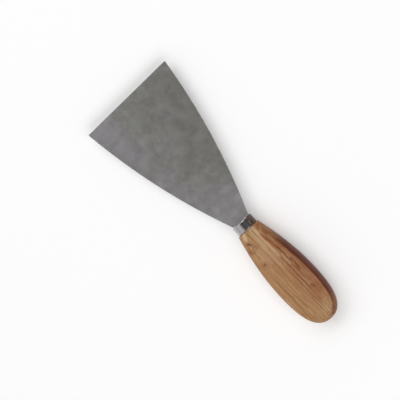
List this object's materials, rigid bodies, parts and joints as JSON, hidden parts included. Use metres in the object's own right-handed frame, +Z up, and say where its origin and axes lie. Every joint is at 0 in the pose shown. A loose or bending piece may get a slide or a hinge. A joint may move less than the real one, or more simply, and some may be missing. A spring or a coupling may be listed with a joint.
{
  "type": "flexible putty knife",
  "caption": "Hand tool with a wide tapered spring steel blade, a round pressed ferrule and a flattened, rounded wooden handle, for spreading and scraping filler.",
  "frame": {"origin": "under the middle of the knife's length and width, on the plane of the handle's back flat", "axes": "+X along the knife towards the scraping edge, +Y across the blade, +Z up out of the blade's broad face and the handle's front flat"},
  "size_m": [0.207, 0.075, 0.017],
  "materials": {
    "spring_steel": "satin ground",
    "plated_steel": "bright plated",
    "lacquered_wood": "clear lacquered",
    "resin": "dull"
  },
  "bodies": {
    "root": {"blade": "spring_steel", "ferrule": "plated_steel", "handle": "lacquered_wood", "tang_resin": "resin"}
  },
  "joints": []
}
